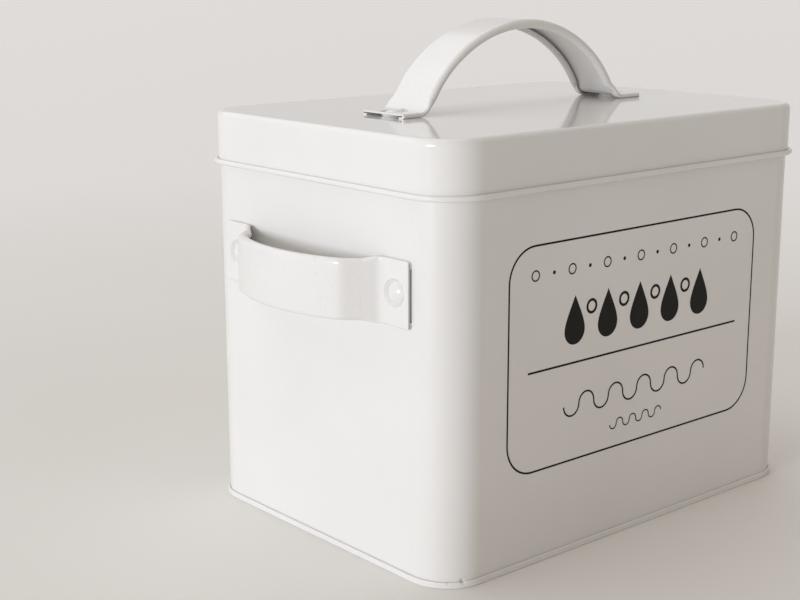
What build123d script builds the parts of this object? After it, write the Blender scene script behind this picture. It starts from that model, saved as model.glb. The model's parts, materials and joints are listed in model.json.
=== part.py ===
import os
from math import cos, radians, sin, tan

from build123d import *

# A lift-off-lid tin for washing powder, in powder-coated steel sheet.
# Millimetres. X runs along the long side, -Y is the front, +Z is up.
# The origin is on the table, under the middle of the tin.

# Body
body_width = 245.0
body_depth = 176.0
body_height = 195.25
corner_radius = 20.0
wall_sheet = 0.4
rim_curl_diameter = 2.6
curl_angle = 300.0

# Lock seam that closes the body, in the middle of the back wall
lock_seam_width = 6.0
lock_seam_place = 0.0
lock_seam_clearance = 0.05
lock_seam_step = 1.2
lock_seam_end_margin = 4.0

# Base panel and the double seam that holds it
base_sheet = 0.35
floor_height = 3.4
seam_height = 3.0
seam_corner_radius = 0.5
seam_clearance = 0.05
body_hook_end = 2.2
base_hook_end = 1.3

# Lid
lid_sheet = 0.45
lid_clearance = 0.65
lid_seat_gap = 0.3
lid_height = 25.7
lid_edge_radius = 3.0
lid_bead_diameter = 2.6

# Handle strap, shared by the three handles
strap_sheet = 0.8
strap_width = 27.4
strap_roll_diameter = 4.4
strap_tuck_diameter = 3.6
strap_tuck_angle = 100.0
strap_bend_radius = 6.0
strap_flatten_length = 5.0
strap_foot_width = 29.6
strap_foot_height = 2.2
strap_hem_lap = 2.1
strap_end_radius = 1.5

# Lid handle
lid_handle_length = 164.0
lid_handle_foot_length = 11.75
lid_handle_shift = -1.25
lid_handle_rise = 42.4
lid_handle_crown_angle = 40.0
lid_handle_shoulder_radius = 60.0
lid_handle_leg_angle = 57.0
lid_rivet_margin = 7.0

# Side handles
side_handle_margin = 0.7
side_handle_foot_length = 14.6
side_handle_shift = 0.0
side_handle_rise = 24.5
side_handle_crown_angle = 23.6
side_handle_shoulder_radius = 11.0
side_handle_leg_angle = 50.0
side_handle_height = 129.0
side_rivet_margin = 9.1

# Rivets, and the dish pressed into a foot round each one
rivet_head_diameter = 10.0
rivet_head_height = 2.4
rivet_head_edge = 0.3
rivet_shank_diameter = 4.8
rivet_tail_diameter = 7.4
rivet_tail_height = 1.4
rivet_tail_edge = 0.4
rivet_hole_clearance = 0.05
dish_flat_diameter = 10.6
dish_diameter = 13.0
dish_rim_height = 1.0

# Values worked out from the ones above
half_width = body_width / 2
half_depth = body_depth / 2
lid_top = body_height + lid_seat_gap + lid_sheet
lid_foot = lid_top - lid_height
lid_side = lid_clearance + lid_sheet / 2
rivet_hole_radius = rivet_shank_diameter / 2 + rivet_hole_clearance
side_handle_length = body_depth - 2 * (corner_radius + side_handle_margin)
side_rivet_spacing = side_handle_length - 2 * side_rivet_margin
lid_rivet_spacing = lid_handle_length - 2 * lid_rivet_margin


def wall_path():
    """Closed path along the body's outer face, starting in the left wall."""
    with BuildSketch(Plane.XY) as outline:
        RectangleRounded(body_width, body_depth, corner_radius)
    return outline.sketch.faces()[0].outer_wire()


# Section across the wall where that path starts: x points out of the tin and is
# nought at the body's outer face, y is the height above the table.
wall_section = Plane(
    origin=(-half_width, half_depth - corner_radius, 0),
    x_dir=(-1, 0, 0),
    z_dir=(0, 1, 0),
)


# Body wall: one sheet bent round four corners. Its top edge is curled inwards,
# and its foot is turned outwards and up into a hook for the base panel.
base_hook = seam_clearance + base_sheet / 2
body_hook = base_hook + base_sheet / 2 + seam_clearance + wall_sheet / 2
body_fold_radius = (body_hook + wall_sheet / 2) / 2
body_fold_height = base_sheet + seam_clearance + wall_sheet / 2 + body_fold_radius
rim_height = body_height - rim_curl_diameter / 2
seam_foot = seam_height + lock_seam_end_margin
seam_head = rim_height - lock_seam_end_margin

with BuildPart() as body_wall:
    with BuildSketch(wall_section):
        with BuildLine():
            curl = JernArc(
                start=(-wall_sheet / 2, rim_height),
                tangent=(0, 1),
                radius=(rim_curl_diameter - wall_sheet) / 2,
                arc_size=curl_angle,
            )
            wall = Line(curl @ 0, (-wall_sheet / 2, body_fold_height))
            fold = JernArc(
                start=wall @ 1,
                tangent=(0, -1),
                radius=body_fold_radius,
                arc_size=180,
            )
            Line(fold @ 1, (body_hook, body_hook_end))
        trace(line_width=wall_sheet)
    sweep(path=wall_path())

    # The sheet's two ends meet in the back wall. They are hooked together and
    # pressed flat inside the tin, and only a groove shows on the outside. Seen from
    # above, the first end folds back into the third layer, and the second end runs
    # in as the fourth layer and folds forward into the second.
    fold_radius = wall_sheet + lock_seam_clearance
    layers = [half_depth - wall_sheet / 2 - i * fold_radius for i in range(4)]
    seam_left = lock_seam_place - lock_seam_width / 2
    seam_right = lock_seam_place + lock_seam_width / 2
    window_left = seam_left - lock_seam_step
    window_right = seam_right + 2 * lock_seam_step
    with BuildSketch(Plane.XY.offset(seam_foot)):
        with Locations(((window_left + window_right) / 2, layers[0])):
            Rectangle(window_right - window_left, 2 * wall_sheet)
    extrude(amount=seam_head - seam_foot, mode=Mode.SUBTRACT)
    with BuildSketch(Plane.XY.offset(seam_foot)):
        with BuildLine():
            run = Line((window_left, layers[0]), (seam_right - fold_radius, layers[0]))
            turn = JernArc(start=run @ 1, tangent=(1, 0), radius=fold_radius, arc_size=-180)
            Line(turn @ 1, (seam_left + 2 * fold_radius, layers[2]))
        trace(line_width=wall_sheet)
        with BuildLine():
            run = Line(
                (seam_right - 2 * fold_radius, layers[1]),
                (seam_left + fold_radius, layers[1]),
            )
            turn = JernArc(start=run @ 1, tangent=(-1, 0), radius=fold_radius, arc_size=180)
            Polyline(
                turn @ 1,
                (seam_right + fold_radius, layers[3]),
                (window_right - fold_radius, layers[0]),
                (window_right, layers[0]),
            )
        trace(line_width=wall_sheet)
    extrude(amount=seam_head - seam_foot)

    # Holes for the side handles' rivets
    with BuildSketch(Plane.YZ.offset(-half_width)):
        with Locations(
            (-side_rivet_spacing / 2, side_handle_height),
            (side_rivet_spacing / 2, side_handle_height),
        ):
            Circle(rivet_hole_radius)
    extrude(amount=body_width, mode=Mode.SUBTRACT)
body_wall.part.label = "body_wall"


# Base panel: a pressed tray. Its edge drops down inside the wall, runs out under
# the hooked foot, up round it and in between hook and wall, which makes a double
# seam. The flat underside of that seam is what the tin stands on.
base_drop = -(wall_sheet + seam_clearance + base_sheet / 2)
base_outside = body_hook + wall_sheet / 2 + seam_clearance + base_sheet / 2
base_fold_radius = (base_outside - base_hook) / 2
base_fold_height = seam_height - base_sheet / 2 - base_fold_radius

with BuildPart() as base_panel:
    with BuildSketch(wall_section):
        with BuildLine():
            land = Polyline(
                (base_drop, floor_height - base_sheet / 2),
                (base_drop, base_sheet / 2),
                (base_outside - seam_corner_radius, base_sheet / 2),
            )
            outer = JernArc(
                start=land @ 1,
                tangent=(1, 0),
                radius=seam_corner_radius,
                arc_size=90,
            )
            rise = Line(outer @ 1, (base_outside, base_fold_height))
            fold = JernArc(
                start=rise @ 1,
                tangent=(0, 1),
                radius=base_fold_radius,
                arc_size=180,
            )
            Line(fold @ 1, (base_hook, base_hook_end))
        trace(line_width=base_sheet)
    sweep(path=wall_path())
    with BuildSketch(Plane.XY.offset(floor_height)):
        RectangleRounded(
            body_width + 2 * base_drop,
            body_depth + 2 * base_drop,
            corner_radius + base_drop,
        )
    extrude(amount=-base_sheet)
base_panel.part.label = "base_panel"


# Lid: a shallow pressed cap with a flat top, whose foot is curled outwards into a
# round bead. It drops over the body with a small clearance all round.
bead_radius = (lid_bead_diameter - lid_sheet) / 2
lid_edge_bend = lid_edge_radius - lid_sheet / 2

with BuildPart() as lid:
    with BuildSketch(wall_section):
        with BuildLine():
            edge = JernArc(
                start=(lid_side - lid_edge_bend, lid_top - lid_sheet / 2),
                tangent=(1, 0),
                radius=lid_edge_bend,
                arc_size=-90,
            )
            skirt = Line(edge @ 1, (lid_side, lid_foot + lid_bead_diameter / 2))
            JernArc(start=skirt @ 1, tangent=(0, -1), radius=bead_radius, arc_size=curl_angle)
        trace(line_width=lid_sheet)
    sweep(path=wall_path())
    with BuildSketch(Plane.XY.offset(lid_top)):
        RectangleRounded(
            body_width + 2 * (lid_side - lid_edge_bend),
            body_depth + 2 * (lid_side - lid_edge_bend),
            corner_radius + lid_side - lid_edge_bend,
        )
    extrude(amount=-lid_sheet)
    with BuildSketch(Plane.XY.offset(lid_top)):
        with Locations((-lid_rivet_spacing / 2, 0), (lid_rivet_spacing / 2, 0)):
            Circle(rivet_hole_radius)
    extrude(amount=-lid_sheet, mode=Mode.SUBTRACT)
lid.part.label = "lid"


def strap_section(plane, width, height, flat):
    """The strap seen along its length: a web whose two edges are rolled under.

    In the grip the rolls are round and tucked in. At a foot they are pressed flat.
    """
    roll_bend = (height - strap_sheet) / 2
    with BuildSketch(plane) as section:
        with BuildLine():
            web = Line((0, -strap_sheet / 2), (width / 2 - height / 2, -strap_sheet / 2))
            roll = JernArc(start=web @ 1, tangent=(1, 0), radius=roll_bend, arc_size=-180)
            if flat:
                Line(roll @ 1, (roll @ 1) + (-strap_hem_lap, 0))
            else:
                JernArc(
                    start=roll @ 1,
                    tangent=(-1, 0),
                    radius=(strap_tuck_diameter - strap_sheet) / 2,
                    arc_size=-strap_tuck_angle,
                )
        trace(line_width=strap_sheet)
        mirror(about=Plane.YZ)
    return section.sketch.face()


def rolled_section(plane):
    """The strap's section in the grip."""
    return strap_section(plane, strap_width, strap_roll_diameter, False)


def flattened_section(plane):
    """The strap's section in the bends and the feet."""
    return strap_section(plane, strap_foot_width, strap_foot_height, True)


def strap_run(end, start, toe, half_span, shape):
    """Half of a strap's outer face seen from the side, from the crown to one toe.

    Returns the grip, the stretch where the rolls are flattened, and the foot. The
    crown's radius is the one that brings the bend down on to the foot's heel.
    """
    rise, crown_angle, shoulder_radius, leg_angle = shape
    crown_turn = radians(crown_angle)
    leg_turn = radians(leg_angle)
    bend_drop = strap_bend_radius * (1 - cos(leg_turn))
    across = shoulder_radius * (sin(leg_turn) - sin(crown_turn)) + strap_bend_radius * sin(leg_turn)
    down = shoulder_radius * (cos(crown_turn) - cos(leg_turn)) + bend_drop
    leg_run = (rise - strap_foot_height - down) / tan(leg_turn)
    crown_spread = sin(crown_turn) - (1 - cos(crown_turn)) / tan(leg_turn)
    with BuildLine(Plane.XZ) as grip:
        crown = JernArc(
            start=(start, rise),
            tangent=(end, 0),
            radius=(half_span - across - leg_run) / crown_spread,
            arc_size=-end * crown_angle,
        )
        shoulder = JernArc(
            start=crown @ 1,
            tangent=crown % 1,
            radius=shoulder_radius,
            arc_size=end * (crown_angle - leg_angle),
        )
        leg_drop = (shoulder @ 1).Z - strap_foot_height - bend_drop
        leg_length = leg_drop / sin(leg_turn) - strap_flatten_length
        leg = Line(shoulder @ 1, (shoulder @ 1) + (shoulder % 1) * leg_length)
    with BuildLine(Plane.XZ) as ankle:
        Line(leg @ 1, (leg @ 1) + (leg % 1) * strap_flatten_length)
    with BuildLine(Plane.XZ) as foot:
        bend = JernArc(
            start=ankle.line @ 1,
            tangent=leg % 1,
            radius=strap_bend_radius,
            arc_size=end * leg_angle,
        )
        Line(bend @ 1, (toe, strap_foot_height))
    return grip.line, ankle.line, foot.line


def strap_handle(length, foot_length, shift, rivet_spacing, shape):
    """A handle made from one strip, standing on the XY plane along X.

    Its arch may stand a little off the middle between its ends. Round each rivet a
    dish is pressed into the foot, down to what the foot is riveted to.
    """
    rise = shape[0]
    rivets = (-rivet_spacing / 2, rivet_spacing / 2)
    dish_depth = strap_foot_height - strap_sheet
    dish_slope = (dish_diameter - dish_flat_diameter) / 2 / dish_depth
    ends = (-1, 1)
    runs = [strap_run(end, shift, end * length / 2, length / 2 - foot_length, shape) for end in ends]

    with BuildPart() as handle:
        for end, (grip, ankle, foot) in zip(ends, runs):
            grip_plane, ankle_plane, foot_plane = [
                Plane(origin=line @ 0, x_dir=(0, end, 0), z_dir=line % 0)
                for line in (grip, ankle, foot)
            ]
            sweep(sections=rolled_section(grip_plane), path=grip)
            sweep(
                sections=[rolled_section(ankle_plane), flattened_section(foot_plane)],
                path=ankle,
                multisection=True,
            )
            sweep(sections=flattened_section(foot_plane), path=foot)

        # The dishes: each one stands under the foot, and is hollow from above
        for rivet in rivets:
            with Locations((rivet, 0, strap_foot_height / 2)):
                Cone(
                    dish_flat_diameter / 2,
                    dish_flat_diameter / 2 + dish_slope * strap_foot_height,
                    strap_foot_height,
                )
            with Locations((rivet, 0, strap_sheet + dish_depth / 2)):
                Cone(dish_flat_diameter / 2, dish_diameter / 2, dish_depth, mode=Mode.SUBTRACT)
            with Locations((rivet, 0, strap_foot_height + dish_rim_height / 2)):
                Cylinder(dish_diameter / 2, dish_rim_height, mode=Mode.SUBTRACT)

        # The ends trimmed to round corners, and the rivet holes punched
        with BuildSketch():
            RectangleRounded(length, strap_foot_width, strap_end_radius)
        extrude(amount=rise + strap_sheet, mode=Mode.INTERSECT)
        with BuildSketch():
            with Locations(*[(rivet, 0) for rivet in rivets]):
                Circle(rivet_hole_radius)
        extrude(amount=strap_foot_height, mode=Mode.SUBTRACT)
    return handle.part


def handle_rivet(sheet):
    """A rivet through a foot that stands on the XY plane and the sheet under it.

    Its domed head sits in the foot's dish, and its tail is spread against the
    sheet's far face.
    """
    head = rivet_head_diameter / 2
    shank = rivet_shank_diameter / 2
    tail = rivet_tail_diameter / 2
    with BuildPart() as rivet:
        with BuildSketch(Plane.XZ):
            with BuildLine():
                TangentArc(
                    (0, strap_sheet + rivet_head_height),
                    (head, strap_sheet + rivet_head_edge),
                    tangent=(1, 0),
                )
                Polyline(
                    (head, strap_sheet + rivet_head_edge),
                    (head, strap_sheet),
                    (shank, strap_sheet),
                    (shank, -sheet),
                    (tail, -sheet),
                    (tail, -sheet - rivet_tail_edge),
                )
                TangentArc(
                    (0, -sheet - rivet_tail_height),
                    (tail, -sheet - rivet_tail_edge),
                    tangent=(1, 0),
                )
                Line((0, -sheet - rivet_tail_height), (0, strap_sheet + rivet_head_height))
            make_face()
        revolve(axis=Axis.Z)
    return rivet.part


# Where the handles stand: on the lid, and on the body's two short sides
lid_face = Plane.XY.offset(lid_top)
left_face = Plane(
    origin=(-half_width, 0, side_handle_height),
    x_dir=(0, 1, 0),
    z_dir=(-1, 0, 0),
)
right_face = Plane(
    origin=(half_width, 0, side_handle_height),
    x_dir=(0, 1, 0),
    z_dir=(1, 0, 0),
)
lid_handle_shape = (
    lid_handle_rise,
    lid_handle_crown_angle,
    lid_handle_shoulder_radius,
    lid_handle_leg_angle,
)
side_handle_shape = (
    side_handle_rise,
    side_handle_crown_angle,
    side_handle_shoulder_radius,
    side_handle_leg_angle,
)

pieces = [body_wall.part, base_panel.part, lid.part]

# Handles
lid_strap = strap_handle(
    lid_handle_length,
    lid_handle_foot_length,
    lid_handle_shift,
    lid_rivet_spacing,
    lid_handle_shape,
)
side_strap = strap_handle(
    side_handle_length,
    side_handle_foot_length,
    side_handle_shift,
    side_rivet_spacing,
    side_handle_shape,
)
for name, strap, face in (
    ("lid_handle", lid_strap, lid_face),
    ("side_handle_left", side_strap, left_face),
    ("side_handle_right", side_strap, right_face),
):
    handle = face.location * strap
    handle.label = name
    pieces.append(handle)

# Rivets, two to a handle
lid_rivet = handle_rivet(lid_sheet)
side_rivet = handle_rivet(wall_sheet)
for name, part, face, distance in (
    ("lid_rivet_left", lid_rivet, lid_face, -lid_rivet_spacing / 2),
    ("lid_rivet_right", lid_rivet, lid_face, lid_rivet_spacing / 2),
    ("side_rivet_left_front", side_rivet, left_face, -side_rivet_spacing / 2),
    ("side_rivet_left_back", side_rivet, left_face, side_rivet_spacing / 2),
    ("side_rivet_right_front", side_rivet, right_face, -side_rivet_spacing / 2),
    ("side_rivet_right_back", side_rivet, right_face, side_rivet_spacing / 2),
):
    rivet = face.location * Pos(distance, 0, 0) * part
    rivet.label = name
    pieces.append(rivet)

os.makedirs("parts", exist_ok=True)
for piece in pieces:
    export_step(piece, f"parts/{piece.label}.step")
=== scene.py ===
# %% [markdown]
# # A white washing powder tin, dressed for a studio picture
#
# The tin itself is already modelled: body, base, lid, three strap handles and six
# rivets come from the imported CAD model, at their real size and place. This lesson
# adds what makes them look real: a camera, a floor, soft light, a glossy white
# coat with its small faults, and the black print on the front.
#
# Everything is in metres. X runs along the long side, -Y is the front, +Z is up,
# and the origin is on the table under the middle of the tin.

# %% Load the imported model
import json
import math

import bpy
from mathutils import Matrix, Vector


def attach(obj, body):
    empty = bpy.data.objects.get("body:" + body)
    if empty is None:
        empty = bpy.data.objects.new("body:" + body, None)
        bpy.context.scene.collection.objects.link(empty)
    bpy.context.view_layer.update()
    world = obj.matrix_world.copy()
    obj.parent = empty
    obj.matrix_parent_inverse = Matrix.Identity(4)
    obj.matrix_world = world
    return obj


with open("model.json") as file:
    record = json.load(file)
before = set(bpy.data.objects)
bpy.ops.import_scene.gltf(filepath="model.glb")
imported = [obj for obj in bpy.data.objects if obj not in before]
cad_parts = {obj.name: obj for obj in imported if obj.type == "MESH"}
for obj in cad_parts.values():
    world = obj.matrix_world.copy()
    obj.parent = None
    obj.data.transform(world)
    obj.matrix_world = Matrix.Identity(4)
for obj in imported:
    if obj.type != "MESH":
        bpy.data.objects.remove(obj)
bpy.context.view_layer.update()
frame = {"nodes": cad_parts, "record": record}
nodes = frame["nodes"]
MM = 0.001
print("pieces loaded:", len(nodes))

# %% [markdown]
# ## The camera
#
# The photograph was taken from about three quarters of a metre away, in front of
# the tin's near left corner, looking down by 13 degrees. A camera can be aimed by
# hand until the edges lie on top of each other. Here its place and angles were
# worked out beforehand from the tin's straight edges, which is exact, so they are
# simply typed in.

# %% Camera
CAMERA_PLACE = (-0.5154, -0.5195, 0.2687)
CAMERA_TILT = 76.73
CAMERA_ROLL = 0.15
CAMERA_TURN = -40.54
FOCAL_LENGTH = 65.82
SENSOR_WIDTH = 36
NEAREST_SEEN = 10 * MM

bpy.ops.object.camera_add(location=CAMERA_PLACE)
camera = bpy.context.object
camera.name = "photo_camera"
camera.data.sensor_width = SENSOR_WIDTH
camera.data.lens = FOCAL_LENGTH
camera.data.clip_start = NEAREST_SEEN
camera.rotation_euler = (
    math.radians(CAMERA_TILT),
    math.radians(CAMERA_ROLL),
    math.radians(CAMERA_TURN),
)
bpy.context.scene.camera = camera
bpy.context.scene.view_settings.view_transform = "Standard"
print("camera at", CAMERA_PLACE, "lens", FOCAL_LENGTH)


# %% [markdown]
# ## Materials are small networks of nodes
#
# Each finish below starts from the same three lines: a new material, its nodes
# switched on, and its main shader picked out. A helper does that once. A second
# helper adds a noise texture that reads the object's own coordinates, so a pattern
# is as large on the tin as its scale says, and stays in place when the lid lifts.

# %% Helpers that start a material
def new_material(name, colour, roughness):
    """A material with its main shader set, and the place where patterns start."""
    material = bpy.data.materials.new(name)
    material.use_nodes = True
    shader = material.node_tree.nodes["Principled BSDF"]
    shader.inputs["Base Color"].default_value = (*colour, 1)
    shader.inputs["Roughness"].default_value = roughness
    coordinates = material.node_tree.nodes.new("ShaderNodeTexCoord")
    return material, shader, coordinates.outputs["Object"]


def add_noise(material, place, scale, detail):
    """A noise pattern of so many waves to the metre."""
    noise = material.node_tree.nodes.new("ShaderNodeTexNoise")
    noise.inputs["Scale"].default_value = scale
    noise.inputs["Detail"].default_value = detail
    material.node_tree.links.new(place, noise.inputs["Vector"])
    return noise.outputs["Fac"]


# %% [markdown]
# ## Numbers become colours, gloss and relief
#
# A noise pattern is only a number at each point, mostly between 0.3 and 0.7. These
# helpers turn it into something that shows: a range stretches it to other numbers,
# such as a roughness, a ramp or a mix gives it colours, and a bump tilts the light
# on the surface as if the pattern stood up from it.

# %% Helpers that use a pattern
NOISE_SPAN = (0.3, 0.7)
# A Mix node has sockets for each kind of value. These are the ones for colours.
MIX_FIRST = 6
MIX_SECOND = 7
MIX_RESULT = 2


def add_range(material, value, low, high, span=NOISE_SPAN):
    """A value within the span, stretched to run from low to high."""
    node = material.node_tree.nodes.new("ShaderNodeMapRange")
    node.inputs["From Min"].default_value = span[0]
    node.inputs["From Max"].default_value = span[1]
    node.inputs["To Min"].default_value = low
    node.inputs["To Max"].default_value = high
    material.node_tree.links.new(value, node.inputs["Value"])
    return node.outputs["Result"]


def add_colours(material, value, stops):
    """A colour picked from a ramp of (position, colour) stops."""
    ramp = material.node_tree.nodes.new("ShaderNodeValToRGB")
    elements = ramp.color_ramp.elements
    for element, (position, colour) in zip(elements, stops, strict=True):
        element.position = position
        element.color = (*colour, 1)
    material.node_tree.links.new(value, ramp.inputs["Fac"])
    return ramp.outputs["Color"]


def add_mix(material, share, first, second):
    """The first colour turning into the second as the share goes from 0 to 1."""
    mix = material.node_tree.nodes.new("ShaderNodeMix")
    mix.data_type = "RGBA"
    material.node_tree.links.new(share, mix.inputs["Factor"])
    material.node_tree.links.new(first, mix.inputs[MIX_FIRST])
    mix.inputs[MIX_SECOND].default_value = (*second, 1)
    return mix.outputs[MIX_RESULT]


def add_bump(material, height, distance, strength, below=None):
    """A bump of that height in metres, on top of another bump if one is given."""
    bump = material.node_tree.nodes.new("ShaderNodeBump")
    bump.inputs["Strength"].default_value = strength
    bump.inputs["Distance"].default_value = distance
    material.node_tree.links.new(height, bump.inputs["Height"])
    if below is not None:
        material.node_tree.links.new(below, bump.inputs["Normal"])
    return bump.outputs["Normal"]


# %% [markdown]
# ## The table
#
# A pale, plain table top. One big plane is enough, because the camera looks down
# on it and sees nothing else behind the tin. Its colour is broken up a little, so
# that it doesn't look like paper. Away from the tin it is painted paler: painted
# light, standing in for the brighter look of a table in a white room.

# %% Floor
FLOOR_SIZE = 40
FLOOR_SHADE = (0.83, 0.812, 0.784)
FLOOR_PALE = (0.87, 0.852, 0.828)
# Painted light: the near-white colour that the table is painted with far from the tin.
FLOOR_FAR_PAINTED_LIGHT = (0.975, 0.97, 0.985)
PAINTED_LIGHT_FADE = (0.25, 1.1)
FLOOR_ROUGHNESS = 0.6
CLOUD_SCALE, CLOUD_DETAIL = 3, 2
GRAIN_SCALE, GRAIN_DETAIL = 260, 4
GRAIN_HEIGHT = 0.2 * MM
GRAIN_STRENGTH = 0.15

bpy.ops.mesh.primitive_plane_add(size=FLOOR_SIZE)
floor = bpy.context.object
floor.name = "table_top"
table, table_shader, table_place = new_material(
    "pale_table", FLOOR_PALE, FLOOR_ROUGHNESS
)
cloud = add_noise(table, table_place, CLOUD_SCALE, CLOUD_DETAIL)
grain = add_noise(table, table_place, GRAIN_SCALE, GRAIN_DETAIL)
distance = table.node_tree.nodes.new("ShaderNodeVectorMath")
distance.operation = "LENGTH"
table.node_tree.links.new(table_place, distance.inputs[0])
# Painted light: the table fades to its painted paler far colour with the distance.
painted_light_fade = add_range(table, distance.outputs["Value"], 0, 1, PAINTED_LIGHT_FADE)
near = add_colours(table, cloud, [(0.3, FLOOR_SHADE), (0.7, FLOOR_PALE)])
table.node_tree.links.new(
    add_mix(table, painted_light_fade, near, FLOOR_FAR_PAINTED_LIGHT), table_shader.inputs["Base Color"]
)
table.node_tree.links.new(
    add_bump(table, grain, GRAIN_HEIGHT, GRAIN_STRENGTH), table_shader.inputs["Normal"]
)
floor.data.materials.append(table)
print("floor:", FLOOR_SIZE, "m wide")

# %% [markdown]
# ## The lamps
#
# In the photograph daylight comes from the left: the tin's short side is nearly
# white, the lid is a little darker and the printed front is a soft, warm grey. Sun
# lamps light the table evenly however far away it is, and a wide angle makes their
# shadows as soft as a window's. The first stands for the window. It shines almost
# level and hardly grazes the front, so that the front lies in the shade and the
# handle's shadow stays behind the handle. The second stands for the bright ceiling.

# %% Lamps
LAMPS = {
    "window_light": {"from": (-0.98, -0.08, 0.10), "watts": 1.99, "angle": 20},
    "ceiling_light": {"from": (-0.1, 0.5, 1.0), "watts": 1.04, "angle": 80},
}
LAMP_COLOUR = (0.955, 1.0, 1.05)

for name, lamp in LAMPS.items():
    place = Vector(lamp["from"])
    bpy.ops.object.light_add(type="SUN", location=place)
    sun = bpy.context.object
    sun.name = name
    sun.data.energy = lamp["watts"]
    sun.data.angle = math.radians(lamp["angle"])
    sun.data.color = LAMP_COLOUR
    sun.rotation_euler = place.to_track_quat("Z", "Y").to_euler()
    print(name, lamp["watts"], "W to the square metre")

# %% [markdown]
# ## The room
#
# The world stands for the room. It has two colours: the walls that are seen, in the
# picture and mirrored in the gloss, are paler than the light that they give. The
# Light Path node tells which of the two a ray asks for.

# %% Room
ROOM_LIGHT = (0.361, 0.316, 0.265)
ROOM_SEEN = (0.75, 0.735, 0.725)

room = bpy.data.worlds.new("white_room")
bpy.context.scene.world = room
room.use_nodes = True
walls = room.node_tree.nodes["Background"]
path = room.node_tree.nodes.new("ShaderNodeLightPath")


def either(first, second):
    """1 where one of the two values is 1, otherwise 0."""
    larger = room.node_tree.nodes.new("ShaderNodeMath")
    larger.operation = "MAXIMUM"
    room.node_tree.links.new(first, larger.inputs[0])
    room.node_tree.links.new(second, larger.inputs[1])
    return larger.outputs["Value"]


mirrored = either(path.outputs["Is Glossy Ray"], path.outputs["Is Transmission Ray"])
seen = either(path.outputs["Is Camera Ray"], mirrored)
choice = room.node_tree.nodes.new("ShaderNodeMix")
choice.data_type = "RGBA"
choice.inputs[MIX_FIRST].default_value = (*ROOM_LIGHT, 1)
choice.inputs[MIX_SECOND].default_value = (*ROOM_SEEN, 1)
room.node_tree.links.new(seen, choice.inputs["Factor"])
room.node_tree.links.new(choice.outputs[MIX_RESULT], walls.inputs["Color"])
print("room light", ROOM_LIGHT, "seen as", ROOM_SEEN)

# %% [markdown]
# ## The white coat
#
# The tin is powder coated: a fine plastic powder is melted on to the steel. It
# sets as a glossy skin that is never quite flat, with long soft ripples and a fine
# orange peel. So the coat gets three patterns: a broad one that shifts its white a
# little, one that varies the gloss, and two bumps of different width. On the
# handles grains of dust got baked in: small, faint grey specks.
#
# The seam round the base has been knocked at the near corner. Two small dents are
# drawn there as bumps, each a cone round a point of the seam.

# %% Coat
COAT_WHITE = (0.80, 0.79, 0.785)
COAT_SHADE = (0.775, 0.765, 0.76)
PATCH_SCALE, PATCH_DETAIL = 14, 3
PATCH_SPAN = (0.35, 0.65)
GLOSS_SCALE, GLOSS_DETAIL = 9, 1
GLOSS_SHARES = (0.95, 1.06)
RIPPLE_SCALE, RIPPLE_DETAIL = 45, 1
RIPPLE_STRENGTH = 0.2
PEEL_SCALE, PEEL_DETAIL = 420, 2
PEEL_HEIGHT = 0.04 * MM
PEEL_STRENGTH = 0.15
SPECK_GREY = (0.45, 0.44, 0.44)
SPECK_SCALE, SPECK_DETAIL = 900, 0
SPECK_SPAN = (0.74, 0.8)


def add_dent(material, place, centre, radius):
    """A height that falls from 0 to -1 towards the centre of a round dent."""
    apart = material.node_tree.nodes.new("ShaderNodeVectorMath")
    apart.operation = "DISTANCE"
    apart.inputs[1].default_value = centre
    material.node_tree.links.new(place, apart.inputs[0])
    return add_range(material, apart.outputs["Value"], -1, 0, (0, radius))


def make_coat(name, roughness, ripple_height, specks=0, dents=()):
    """Glossy white powder coat, with ripples of that height, specks and dents."""
    coat, shader, place = new_material(name, COAT_WHITE, roughness)
    links = coat.node_tree.links

    patches = add_noise(coat, place, PATCH_SCALE, PATCH_DETAIL)
    colour = add_colours(coat, patches, list(zip(PATCH_SPAN, (COAT_SHADE, COAT_WHITE))))
    if specks:
        dust = add_noise(coat, place, SPECK_SCALE, SPECK_DETAIL)
        dust = add_range(coat, dust, 0, specks, SPECK_SPAN)
        colour = add_mix(coat, dust, colour, SPECK_GREY)
    links.new(colour, shader.inputs["Base Color"])

    gloss = add_noise(coat, place, GLOSS_SCALE, GLOSS_DETAIL)
    low, high = (roughness * share for share in GLOSS_SHARES)
    links.new(add_range(coat, gloss, low, high, (0, 1)), shader.inputs["Roughness"])

    ripple = add_noise(coat, place, RIPPLE_SCALE, RIPPLE_DETAIL)
    relief = add_bump(coat, ripple, ripple_height, RIPPLE_STRENGTH)
    peel = add_noise(coat, place, PEEL_SCALE, PEEL_DETAIL)
    relief = add_bump(coat, peel, PEEL_HEIGHT, PEEL_STRENGTH, relief)
    for centre, radius in dents:
        dent = add_dent(coat, place, centre, radius)
        relief = add_bump(coat, dent, radius / 2, 1, relief)
    links.new(relief, shader.inputs["Normal"])
    return coat


# %% [markdown]
# ## Each piece gets its coat
#
# All pieces are coated alike, but not equally smooth. The lid's pressed top mirrors
# its handle, the flat walls are duller, and the bent straps lie between the two.
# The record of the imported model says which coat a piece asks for.

# %% Finishes
SEAM_DENTS = [
    ((-0.1104, -0.0871, 0.0031), 1.6 * MM),
    ((-0.1160, -0.0836, 0.0024), 1.0 * MM),
]
FINISHES = {
    "body_coat": {"roughness": 0.26, "ripple_height": 0.3 * MM, "dents": SEAM_DENTS},
    "lid_coat": {"roughness": 0.07, "ripple_height": 0.1 * MM},
    "handle_coat": {"roughness": 0.18, "ripple_height": 0.2 * MM, "specks": 0.2},
    "rivet_coat": {"roughness": 0.2, "ripple_height": 0.1 * MM, "specks": 0.2},
}

coats = {name: make_coat(name, **finish) for name, finish in FINISHES.items()}
for part in frame["record"]["subparts"]:
    piece = nodes[part["node"]]
    piece.data.materials.clear()
    piece.data.materials.append(coats[part["material_slot"]])
print("coated:", len(nodes), "pieces")

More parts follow.
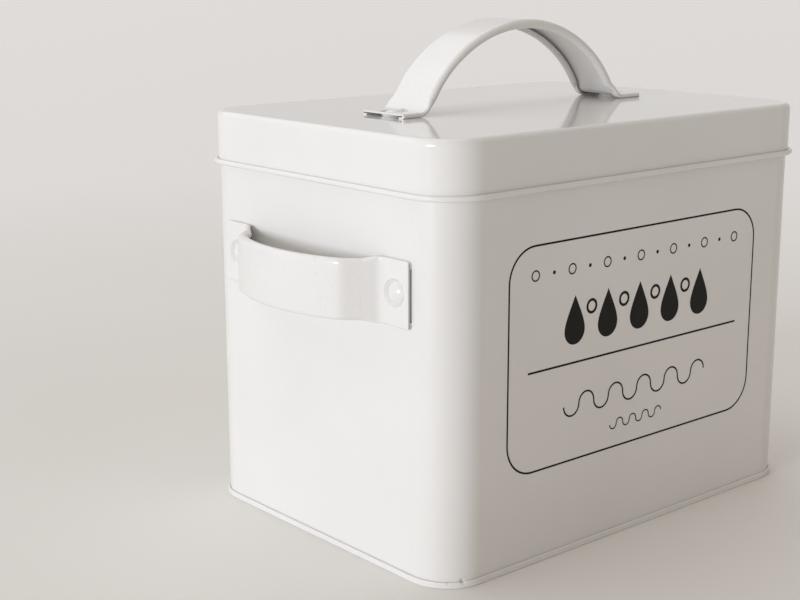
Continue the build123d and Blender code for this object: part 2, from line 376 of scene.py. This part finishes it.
# %% [markdown]
# ## The print on the front
#
# A label is screen printed on the coat in near-black ink: a frame with round
# corners, a line across it, bold drops and bubbles above the line and thin waves
# below it. The drops, bubbles and waves are plain shapes made up for this model.
# First comes the ink itself: dark, hardly shiny, and a little greyer in places.

# %% Ink
INK_DARK = (0.008, 0.007, 0.006)
INK_THIN = (0.018, 0.016, 0.014)
INK_SPAN = (0.35, 0.75)
INK_GRAIN_SCALE, INK_GRAIN_DETAIL = 900, 3
INK_ROUGHNESS = (0.42, 0.55)
INK_SHINE = 0.12


def make_ink():
    """Near-black ink, a little greyer where the screen left less of it."""
    ink, shader, place = new_material("print_ink", INK_DARK, INK_ROUGHNESS[0])
    worn = add_noise(ink, place, INK_GRAIN_SCALE, INK_GRAIN_DETAIL)
    colour = add_colours(ink, worn, list(zip(INK_SPAN, (INK_DARK, INK_THIN))))
    ink.node_tree.links.new(colour, shader.inputs["Base Color"])
    roughness = add_range(ink, worn, *INK_ROUGHNESS)
    ink.node_tree.links.new(roughness, shader.inputs["Roughness"])
    shader.inputs["Specular IOR Level"].default_value = INK_SHINE
    return ink


INK = make_ink()
print("ink:", INK.name)

# %% [markdown]
# ## Flat shapes to print
#
# Every printed shape starts as a flat rectangle or disc that lies on the front wall.
# All are drawn in the same plane: X along the tin, Z up, Y at the wall. Two more
# helpers pick points by their place and open a shape's middle to a thin outline.

# %% Helpers that start a flat shape
WALL_Y = -88 * MM
FACING_FRONT = (math.radians(90), 0, 0)


def start_editing():
    """Opens the new primitive for editing with all of it selected."""
    bpy.ops.object.transform_apply()
    bpy.ops.object.mode_set(mode="EDIT")
    bpy.ops.mesh.select_all(action="SELECT")
    return bpy.context.object


def start_plane(across, up, width, height):
    """A flat rectangle facing the front, open for editing."""
    bpy.ops.object.select_all(action="DESELECT")
    bpy.ops.mesh.primitive_plane_add(
        size=1, location=(across, WALL_Y, up), rotation=FACING_FRONT
    )
    bpy.ops.transform.resize(value=(width, 1, height))
    return start_editing()


def start_disc(across, up, radius, sides=32):
    """A flat disc facing the front, open for editing."""
    bpy.ops.object.select_all(action="DESELECT")
    bpy.ops.mesh.primitive_circle_add(
        vertices=sides,
        radius=radius,
        fill_type="NGON",
        location=(across, WALL_Y, up),
        rotation=FACING_FRONT,
    )
    return start_editing()


def select_points(shape, test):
    """In edit mode, selects the points whose place passes the test."""
    bpy.ops.mesh.select_all(action="DESELECT")
    bpy.ops.object.mode_set(mode="OBJECT")
    for point in shape.data.vertices:
        point.select = test(point.co)
    bpy.ops.object.mode_set(mode="EDIT")


def open_middle(line):
    """Leaves only an outline of that width of the selected face."""
    bpy.ops.mesh.inset(thickness=line)
    bpy.ops.mesh.delete(type="FACE")


# %% [markdown]
# ## From a flat shape to ink
#
# What repeats is drawn once, copied along its row and joined to one piece. Ink has
# a thickness, so a Solidify modifier then gives the flat shape a tenth of a
# millimetre, half of it sunk in the coat so that no gap shows. The print belongs to
# the container, and stays on it when the lid lifts.

# %% Helpers that finish the ink
INK_DEPTH = 0.1 * MM
MERGE_DISTANCE = INK_DEPTH / 20


def copy_along(shape, steps):
    """Copies a flat shape by each step along the tin and joins the copies to it."""
    copies = []
    for step in steps:
        bpy.ops.object.select_all(action="DESELECT")
        shape.select_set(True)
        bpy.context.view_layer.objects.active = shape
        bpy.ops.object.duplicate()
        bpy.ops.transform.translate(value=(step, 0, 0))
        bpy.ops.object.transform_apply()
        copies.append(bpy.context.object)
    for copy in copies:
        copy.select_set(True)
    shape.select_set(True)
    bpy.context.view_layer.objects.active = shape
    bpy.ops.object.join()


def finish_ink(shape, name, steps=()):
    """Ends a flat shape's editing, repeats it, gives it depth and inks it."""
    bpy.ops.mesh.select_all(action="SELECT")
    bpy.ops.mesh.remove_doubles(threshold=MERGE_DISTANCE)
    bpy.ops.mesh.normals_make_consistent(inside=False)
    bpy.ops.object.mode_set(mode="OBJECT")
    if steps:
        copy_along(shape, steps)
    bpy.ops.object.modifier_add(type="SOLIDIFY")
    solidify = shape.modifiers[-1]
    solidify.thickness = INK_DEPTH
    solidify.offset = 0
    bpy.ops.object.modifier_apply(modifier=solidify.name)
    shape.data.materials.append(INK)
    shape.name = name
    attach(shape, "container")
    print(name, len(shape.data.polygons), "faces")


# %% [markdown]
# ## Frame and line
#
# The frame starts as a rectangle. Bevelling its corner points rounds them, an
# inset draws the inner edge of the line, and the middle is deleted. The line across
# it is a long thin rectangle whose ends are rounded in the same way.

# %% Frame and line
FRAME_WIDTH = 172 * MM
FRAME_LOW = 43.4 * MM
FRAME_HIGH = 147.3 * MM
FRAME_CORNER = 16 * MM
FRAME_LINE = 0.9 * MM
FRAME_SEGMENTS = 12
LINE_LENGTH = 147 * MM
LINE_UP = 90 * MM
LINE_WIDTH = 0.95 * MM
LINE_CORNER = LINE_WIDTH * 0.45
LINE_SEGMENTS = 4

frame_shape = start_plane(
    0, (FRAME_LOW + FRAME_HIGH) / 2, FRAME_WIDTH, FRAME_HIGH - FRAME_LOW
)
bpy.ops.mesh.bevel(offset=FRAME_CORNER, segments=FRAME_SEGMENTS, affect="VERTICES")
bpy.ops.mesh.select_all(action="SELECT")
open_middle(FRAME_LINE)
finish_ink(frame_shape, "print_frame")

line_shape = start_plane(0, LINE_UP, LINE_LENGTH, LINE_WIDTH)
bpy.ops.mesh.bevel(offset=LINE_CORNER, segments=LINE_SEGMENTS, affect="VERTICES")
finish_ink(line_shape, "print_line")

# %% [markdown]
# ## Drops and bubbles
#
# A drop starts as a disc. Its top point is pulled up with proportional editing, so
# that its neighbours follow less and less, and the flanks draw in as a drop's do.
# A bubble is a disc with its middle opened. One of each is made and copied along
# the row, and the bubbles stand between the drops.

# %% Drops and bubbles
DROP_RADIUS = 6.6 * MM
DROP_UP = 105 * MM
DROP_PULL = 9.5 * MM
DROP_STEP = 22 * MM
DROP_SIDES = 48
BUBBLE_RADIUS = 3.6 * MM
BUBBLE_UP = 114.5 * MM
BUBBLE_LINE = 1.3 * MM

drop = start_disc(0, DROP_UP, DROP_RADIUS, DROP_SIDES)
drop_top = max(point.co.z for point in drop.data.vertices)
select_points(drop, lambda point: point.z > drop_top - MERGE_DISTANCE)
bpy.ops.transform.translate(
    value=(0, 0, DROP_PULL),
    use_proportional_edit=True,
    proportional_edit_falloff="SHARP",
    proportional_size=DROP_PULL,
)
finish_ink(drop, "print_drops", [count * DROP_STEP for count in (-2, -1, 1, 2)])

bubble = start_disc(DROP_STEP / 2, BUBBLE_UP, BUBBLE_RADIUS)
open_middle(BUBBLE_LINE)
finish_ink(bubble, "print_bubbles", [count * DROP_STEP for count in (-2, -1, 1)])

# %% [markdown]
# ## The small row
#
# A row of small bubbles and dots by turns runs under the frame's top. They are made
# as the large ones are, with fewer sides, because nobody sees so small a corner.

# %% Rings and dots
ROW_UP = 133.5 * MM
ROW_STEP = 11.6 * MM
RING_RADIUS = 2.6 * MM
RING_LINE = 0.65 * MM
RING_SIDES = 24
DOT_RADIUS = 0.9 * MM
DOT_SIDES = 16

ring = start_disc(0, ROW_UP, RING_RADIUS, RING_SIDES)
open_middle(RING_LINE)
finish_ink(ring, "print_rings", [count * ROW_STEP for count in (-6, -4, -2, 2, 4, 6)])

dot = start_disc(ROW_STEP, ROW_UP, DOT_RADIUS, DOT_SIDES)
finish_ink(dot, "print_dots", [count * ROW_STEP for count in (-6, -4, -2, 2, 4)])

# %% [markdown]
# ## Waves
#
# A wave is a row of half rings, curling up and down by turns. It starts as one
# short edge, as long as the line is wide, and the Spin tool turns it by half a turn
# round one centre after another. The last edge stays selected each time, so the
# next half ring goes on from there.

# %% Waves
WAVES = {
    "print_wave": {"up": 70, "radius": 5.0, "line": 0.85, "halves": 10},
    "print_ripple": {"up": 55, "radius": 2.3, "line": 0.6, "halves": 8},
}
SPIN_STEPS = 12

for name, wave in WAVES.items():
    up, radius, line = (wave[key] * MM for key in ("up", "radius", "line"))
    start = -radius * wave["halves"]
    shape = start_plane(start, up + line / 2, line, line)
    select_points(shape, lambda point: point.z > up + line / 2)
    bpy.ops.mesh.delete(type="VERT")
    bpy.ops.mesh.select_all(action="SELECT")
    for count in range(wave["halves"]):
        bpy.ops.mesh.spin(
            steps=SPIN_STEPS,
            angle=math.pi * (-1) ** count,
            center=(start + radius * (2 * count + 1), WALL_Y, up),
            axis=(0, 1, 0),
        )
    finish_ink(shape, name)
